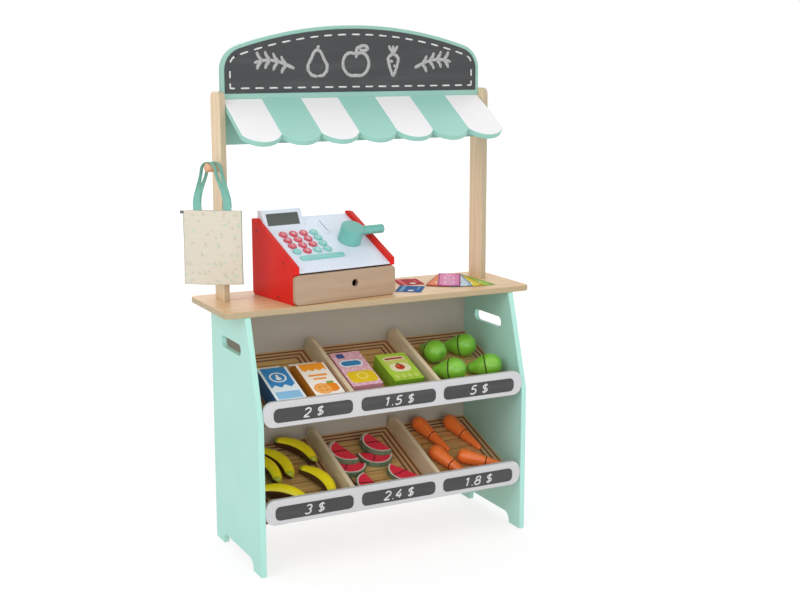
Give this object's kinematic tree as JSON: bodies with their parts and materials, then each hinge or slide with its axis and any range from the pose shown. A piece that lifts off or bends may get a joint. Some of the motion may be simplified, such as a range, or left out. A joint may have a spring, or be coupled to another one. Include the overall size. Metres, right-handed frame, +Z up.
{
  "type": "toy market stall",
  "caption": "Toy market stall with tilted trays under a counter, a toy till on top, a hanging bag and an arched sign with a striped awning.",
  "frame": {"origin": "on the floor in the middle of the four feet, in the stall's middle plane", "axes": "+Z up, customer's side towards -Y, +X to the customer's right"},
  "size_m": [0.6889, 0.258, 1.021],
  "materials": {
    "mint_paint": "satin paint",
    "white_paint": "satin paint",
    "natural_wood": "clear lacquer",
    "pale_board": "matt board",
    "chalkboard": "matt",
    "steel": "brushed",
    "red_paint": "satin paint",
    "white_plastic": "satin",
    "display": "gloss",
    "circuit": "matt",
    "red_key": "satin",
    "teal_plastic": "satin",
    "printed_carton": "printed",
    "printed_box": "printed",
    "pear_green": "satin paint",
    "carrot_orange": "satin paint",
    "banana_yellow": "satin paint",
    "melon_red": "satin paint",
    "printed_paper": "printed",
    "bag_cloth": "plain weave",
    "webbing": "webbing"
  },
  "bodies": {
    "stall": {"left_side_panel": "mint_paint", "right_side_panel": "mint_paint", "back_panel": "pale_board", "back_battens": "natural_wood", "back_screws": "steel", "counter_top": "natural_wood", "left_post": "natural_wood", "right_post": "natural_wood", "dowels": "natural_wood", "bag_peg": "natural_wood", "sign_board": "mint_paint", "chalkboard_panel": "chalkboard", "awning_board": "mint_paint", "awning_brackets": "natural_wood", "upper_tray_floor": "natural_wood", "lower_tray_floor": "natural_wood", "tray_dividers": "natural_wood", "upper_price_rail": "white_paint", "lower_price_rail": "white_paint", "price_plates": "chalkboard", "tray_battens": "natural_wood", "cartons": "printed_carton", "snack_boxes": "printed_box", "pears": "pear_green", "carrots": "carrot_orange", "bananas": "banana_yellow", "melon_slices": "melon_red", "play_money": "printed_paper"},
    "till": {"till_left_cheek": "red_paint", "till_right_cheek": "red_paint", "till_base": "natural_wood", "till_back": "red_paint", "till_deck": "white_plastic", "till_deck_cleats": "natural_wood", "till_cheek_screws": "steel", "till_display_window": "display", "till_circuit_board": "circuit"},
    "till_drawer_box": {"till_drawer": "natural_wood", "till_drawer_front": "natural_wood"},
    "scanner": {"scanner_drum": "teal_plastic", "scanner_handle": "teal_plastic"},
    "bag": {"bag_body": "bag_cloth", "bag_handles": "webbing"},
    "body_till_key_01": {"till_key_01": "red_key"},
    "body_till_key_02": {"till_key_02": "red_key"},
    "body_till_key_03": {"till_key_03": "red_key"},
    "body_till_key_04": {"till_key_04": "teal_plastic"},
    "body_till_key_05": {"till_key_05": "red_key"},
    "body_till_key_06": {"till_key_06": "red_key"},
    "body_till_key_07": {"till_key_07": "red_key"},
    "body_till_key_08": {"till_key_08": "teal_plastic"},
    "body_till_key_09": {"till_key_09": "red_key"},
    "body_till_key_10": {"till_key_10": "red_key"},
    "body_till_key_11": {"till_key_11": "red_key"},
    "body_till_key_12": {"till_key_12": "teal_plastic"},
    "body_till_key_13": {"till_key_13": "teal_plastic"},
    "body_till_key_14": {"till_key_14": "red_key"},
    "body_till_key_15": {"till_key_15": "teal_plastic"},
    "body_till_key_16": {"till_key_16": "teal_plastic"},
    "body_till_key_bar": {"till_key_bar": "teal_plastic"}
  },
  "joints": [
    {"name": "till_lift", "type": "slide", "parent": "stall", "child": "till", "axis": [0, 0, 1], "range_m": [0, 0.08]},
    {"name": "drawer_slide", "type": "slide", "parent": "till", "child": "till_drawer_box", "axis": [0.1392, -0.9903, 0], "range_m": [0, 0.11]},
    {"name": "scanner_lift", "type": "slide", "parent": "till", "child": "scanner", "axis": [0.0632, -0.4496, 0.891], "range_m": [0, 0.07]},
    {"name": "bag_swing", "type": "hinge", "parent": "stall", "child": "bag", "pos_m": [-0.3045, 0.051, 0.757], "axis": [-1, 0, 0], "range_deg": [0, 25]},
    {"name": "till_key_01_press", "type": "slide", "parent": "till", "child": "body_till_key_01", "axis": [-0.0632, 0.4496, -0.891], "range_m": [0, 0.0015], "stiffness_N_per_m": 200, "springref_m": -0.0006},
    {"name": "till_key_02_press", "type": "slide", "parent": "till", "child": "body_till_key_02", "axis": [-0.0632, 0.4496, -0.891], "range_m": [0, 0.0015], "stiffness_N_per_m": 200, "springref_m": -0.0006},
    {"name": "till_key_03_press", "type": "slide", "parent": "till", "child": "body_till_key_03", "axis": [-0.0632, 0.4496, -0.891], "range_m": [0, 0.0015], "stiffness_N_per_m": 200, "springref_m": -0.0006},
    {"name": "till_key_04_press", "type": "slide", "parent": "till", "child": "body_till_key_04", "axis": [-0.0632, 0.4496, -0.891], "range_m": [0, 0.0015], "stiffness_N_per_m": 200, "springref_m": -0.0006},
    {"name": "till_key_05_press", "type": "slide", "parent": "till", "child": "body_till_key_05", "axis": [-0.0632, 0.4496, -0.891], "range_m": [0, 0.0015], "stiffness_N_per_m": 200, "springref_m": -0.0006},
    {"name": "till_key_06_press", "type": "slide", "parent": "till", "child": "body_till_key_06", "axis": [-0.0632, 0.4496, -0.891], "range_m": [0, 0.0015], "stiffness_N_per_m": 200, "springref_m": -0.0006},
    {"name": "till_key_07_press", "type": "slide", "parent": "till", "child": "body_till_key_07", "axis": [-0.0632, 0.4496, -0.891], "range_m": [0, 0.0015], "stiffness_N_per_m": 200, "springref_m": -0.0006},
    {"name": "till_key_08_press", "type": "slide", "parent": "till", "child": "body_till_key_08", "axis": [-0.0632, 0.4496, -0.891], "range_m": [0, 0.0015], "stiffness_N_per_m": 200, "springref_m": -0.0006},
    {"name": "till_key_09_press", "type": "slide", "parent": "till", "child": "body_till_key_09", "axis": [-0.0632, 0.4496, -0.891], "range_m": [0, 0.0015], "stiffness_N_per_m": 200, "springref_m": -0.0006},
    {"name": "till_key_10_press", "type": "slide", "parent": "till", "child": "body_till_key_10", "axis": [-0.0632, 0.4496, -0.891], "range_m": [0, 0.0015], "stiffness_N_per_m": 200, "springref_m": -0.0006},
    {"name": "till_key_11_press", "type": "slide", "parent": "till", "child": "body_till_key_11", "axis": [-0.0632, 0.4496, -0.891], "range_m": [0, 0.0015], "stiffness_N_per_m": 200, "springref_m": -0.0006},
    {"name": "till_key_12_press", "type": "slide", "parent": "till", "child": "body_till_key_12", "axis": [-0.0632, 0.4496, -0.891], "range_m": [0, 0.0015], "stiffness_N_per_m": 200, "springref_m": -0.0006},
    {"name": "till_key_13_press", "type": "slide", "parent": "till", "child": "body_till_key_13", "axis": [-0.0632, 0.4496, -0.891], "range_m": [0, 0.0015], "stiffness_N_per_m": 200, "springref_m": -0.0006},
    {"name": "till_key_14_press", "type": "slide", "parent": "till", "child": "body_till_key_14", "axis": [-0.0632, 0.4496, -0.891], "range_m": [0, 0.0015], "stiffness_N_per_m": 200, "springref_m": -0.0006},
    {"name": "till_key_15_press", "type": "slide", "parent": "till", "child": "body_till_key_15", "axis": [-0.0632, 0.4496, -0.891], "range_m": [0, 0.0015], "stiffness_N_per_m": 200, "springref_m": -0.0006},
    {"name": "till_key_16_press", "type": "slide", "parent": "till", "child": "body_till_key_16", "axis": [-0.0632, 0.4496, -0.891], "range_m": [0, 0.0015], "stiffness_N_per_m": 200, "springref_m": -0.0006},
    {"name": "till_key_bar_press", "type": "slide", "parent": "till", "child": "body_till_key_bar", "axis": [-0.0632, 0.4496, -0.891], "range_m": [0, 0.0015], "stiffness_N_per_m": 300, "springref_m": -0.0006}
  ]
}
